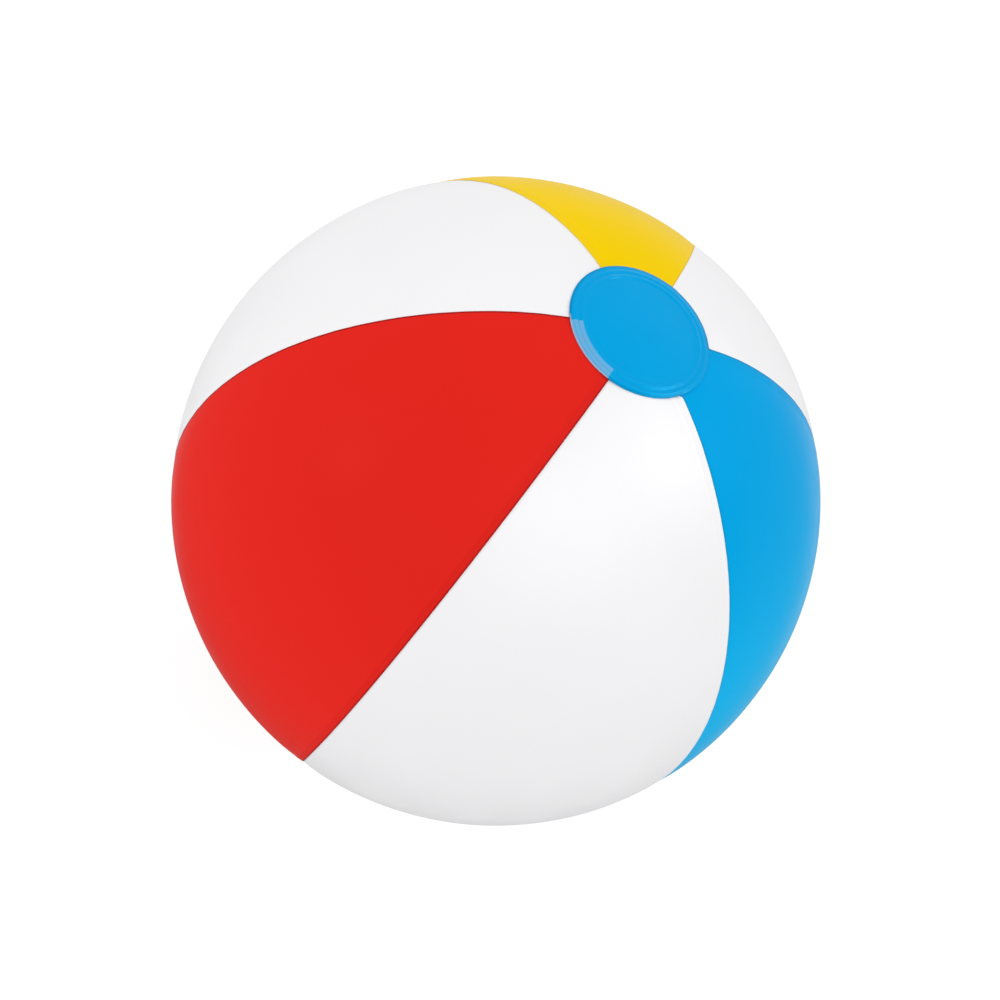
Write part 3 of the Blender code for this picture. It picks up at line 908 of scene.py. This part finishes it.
place(make_flange(), VINYL_CLEAR, "ball", "vinyl_clear", "valve_flange")
neck = place(make_diaphragm(), VINYL_CLEAR, None, "vinyl_clear", "valve_diaphragm")
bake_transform(neck)
place(make_stem(), VINYL_CLEAR, "valve_stem", "vinyl_clear", "valve_stem")
place(make_flap(), VINYL_CLEAR, "check_flap", "vinyl_clear", "check_flap")
place(make_stopper(), VINYL_CLEAR, "stopper", "vinyl_clear", "valve_stopper")
tether = place(make_strap(), VINYL_CLEAR, None, "vinyl_clear", "stopper_strap")
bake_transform(tether)


# ---------------------------------------------------------------- stage, light, camera
def camera_frame():
    """Where the camera looks from: right, up and back, in the row frame."""
    az, el, spin = math.radians(-124.70), math.radians(54.27), math.radians(49.65)
    back = Vector((math.cos(el) * math.cos(az), math.cos(el) * math.sin(az), math.sin(el)))
    pole = Vector((0, 0, 1))
    q = (pole - back * pole.dot(back)).normalized()
    side = back.cross(q)
    right = q * math.cos(spin) - side * math.sin(spin)
    up = q * math.sin(spin) + side * math.cos(spin)
    return right, up, back


RIGHT, UP, BACK = camera_frame()
DISTANCE = 4.064 * R
PIXELS = 1000.0
BALL_PX, CENTRE_PX = 324.6, (495.9, 501.0)
focal_px = BALL_PX * math.sqrt((DISTANCE / R) ** 2 - 1.0)

cam_data = bpy.data.cameras.new("camera")
cam_data.sensor_width = 36.0
cam_data.lens = focal_px * 36.0 / PIXELS
cam_data.shift_x = (PIXELS / 2 - CENTRE_PX[0]) / PIXELS
cam_data.shift_y = (CENTRE_PX[1] - PIXELS / 2) / PIXELS
cam_data.dof.use_dof = False
cam_data.clip_start, cam_data.clip_end = 0.05, 50.0
cam = bpy.data.objects.new("camera", cam_data)
bpy.context.scene.collection.objects.link(cam)
turn = Matrix((RIGHT, UP, BACK)).transposed().to_4x4()
turn.translation = BACK * DISTANCE
cam.matrix_world = turn
bpy.context.scene.camera = cam


def in_view(x, y, z):
    return (RIGHT * x + UP * y + BACK * z).normalized()


bm = bmesh.new()
bmesh.ops.create_circle(bm, cap_ends=True, segments=128, radius=6.0)
me = bpy.data.meshes.new("floor")
bm.to_mesh(me)
bm.free()
floor = bpy.data.objects.new("floor", me)
bpy.context.scene.collection.objects.link(floor)
floor.location = (0, 0, REST_Z - 0.0002)
mat = bpy.data.materials.new("floor_white")
n = Nodes(mat)
pale = n.mix(n.ramp(n.noise(n.where(), 1.5, 1.0), 0.3, 0.7), (0.25, 0.25, 0.25), (0.27, 0.27, 0.27))
n.finish(pale, 0.9, None, 0.0, Emission_Color=(1.0, 1.0, 1.0, 1.0), Emission_Strength=0.83)
me.materials.append(mat)
floor.visible_diffuse = False
floor.visible_glossy = False

world = bpy.data.worlds.new("studio")
bpy.context.scene.world = world
world.use_nodes = True
wt = world.node_tree
wt.nodes.clear()
coord = wt.nodes.new("ShaderNodeTexCoord")
dot = wt.nodes.new("ShaderNodeVectorMath")
dot.operation = "DOT_PRODUCT"
wt.links.new(coord.outputs["Generated"], dot.inputs[0])
dot.inputs[1].default_value = in_view(-0.30, 0.55, -0.10)
soft = wt.nodes.new("ShaderNodeMath")
soft.operation = "MULTIPLY_ADD"
wt.links.new(dot.outputs["Value"], soft.inputs[0])
soft.inputs[1].default_value = 0.05
soft.inputs[2].default_value = 0.955
env = wt.nodes.new("ShaderNodeBackground")
env.inputs["Color"].default_value = (1.0, 1.0, 1.0, 1.0)
glow = soft.outputs[0]
for way, amount in ((in_view(1.0, -0.25, 0.15), 0.20), (in_view(-0.80, 0.45, 0.15), 0.20)):
    # broad bright patches of the surroundings, to the right and at the upper left
    lobe = wt.nodes.new("ShaderNodeVectorMath")
    lobe.operation = "DOT_PRODUCT"
    wt.links.new(coord.outputs["Generated"], lobe.inputs[0])
    lobe.inputs[1].default_value = way
    front = wt.nodes.new("ShaderNodeMath")
    front.operation = "MAXIMUM"
    front.inputs[1].default_value = 0.0
    wt.links.new(lobe.outputs["Value"], front.inputs[0])
    square = wt.nodes.new("ShaderNodeMath")
    square.operation = "MULTIPLY"
    wt.links.new(front.outputs[0], square.inputs[0])
    wt.links.new(front.outputs[0], square.inputs[1])
    more = wt.nodes.new("ShaderNodeMath")
    more.operation = "MULTIPLY_ADD"
    wt.links.new(square.outputs[0], more.inputs[0])
    more.inputs[1].default_value = amount
    wt.links.new(glow, more.inputs[2])
    glow = more.outputs[0]
wt.links.new(glow, env.inputs["Strength"])
dim = wt.nodes.new("ShaderNodeBackground")
dim.inputs["Color"].default_value = (1.0, 1.0, 1.0, 1.0)
behind = wt.nodes.new("ShaderNodeVectorMath")
behind.operation = "DOT_PRODUCT"
wt.links.new(coord.outputs["Generated"], behind.inputs[0])
behind.inputs[1].default_value = in_view(0.15, 0.36, -0.92)
rise = wt.nodes.new("ShaderNodeMapRange")
rise.interpolation_type = "SMOOTHSTEP"
wt.links.new(behind.outputs["Value"], rise.inputs["Value"])
for key, value in (("From Min", 0.55), ("From Max", 0.92), ("To Min", 0.22), ("To Max", 0.74)):
    rise.inputs[key].default_value = value
wt.links.new(rise.outputs["Result"], dim.inputs["Strength"])
plain = wt.nodes.new("ShaderNodeBackground")
plain.inputs["Color"].default_value = (1.0, 1.0, 1.0, 1.0)
plain.inputs["Strength"].default_value = 1.0
path = wt.nodes.new("ShaderNodeLightPath")
mix1 = wt.nodes.new("ShaderNodeMixShader")
mix2 = wt.nodes.new("ShaderNodeMixShader")
out = wt.nodes.new("ShaderNodeOutputWorld")
wt.links.new(path.outputs["Is Glossy Ray"], mix1.inputs[0])
wt.links.new(env.outputs[0], mix1.inputs[1])
wt.links.new(dim.outputs[0], mix1.inputs[2])
wt.links.new(path.outputs["Is Camera Ray"], mix2.inputs[0])
wt.links.new(mix1.outputs[0], mix2.inputs[1])
wt.links.new(plain.outputs[0], mix2.inputs[2])
wt.links.new(mix2.outputs[0], out.inputs["Surface"])


def area(name, way, distance, size, radiance):
    data = bpy.data.lights.new(name, "AREA")
    data.shape = "DISK"
    data.size = size
    data.energy = radiance * math.pi * math.pi * (size / 2) ** 2
    ob = bpy.data.objects.new(name, data)
    bpy.context.scene.collection.objects.link(ob)
    ob.location = way * distance
    ob.rotation_mode = "QUATERNION"
    ob.rotation_quaternion = way.to_track_quat("Z", "Y")
    return ob


for lamp in (area("key", in_view(-0.686, 0.233, 0.689), 1.3, 0.40, 9.0),
             area("fill", in_view(0.833, 0.219, 0.507), 1.3, 0.70, 4.2),
             area("front", in_view(0.30, -0.10, 0.95), 1.5, 1.20, 2.1)):
    lamp.visible_diffuse = False      # seen only as soft glints; the white surroundings light the ball

bpy.context.scene.view_settings.view_transform = "Standard"
bpy.context.scene.view_settings.look = "None"
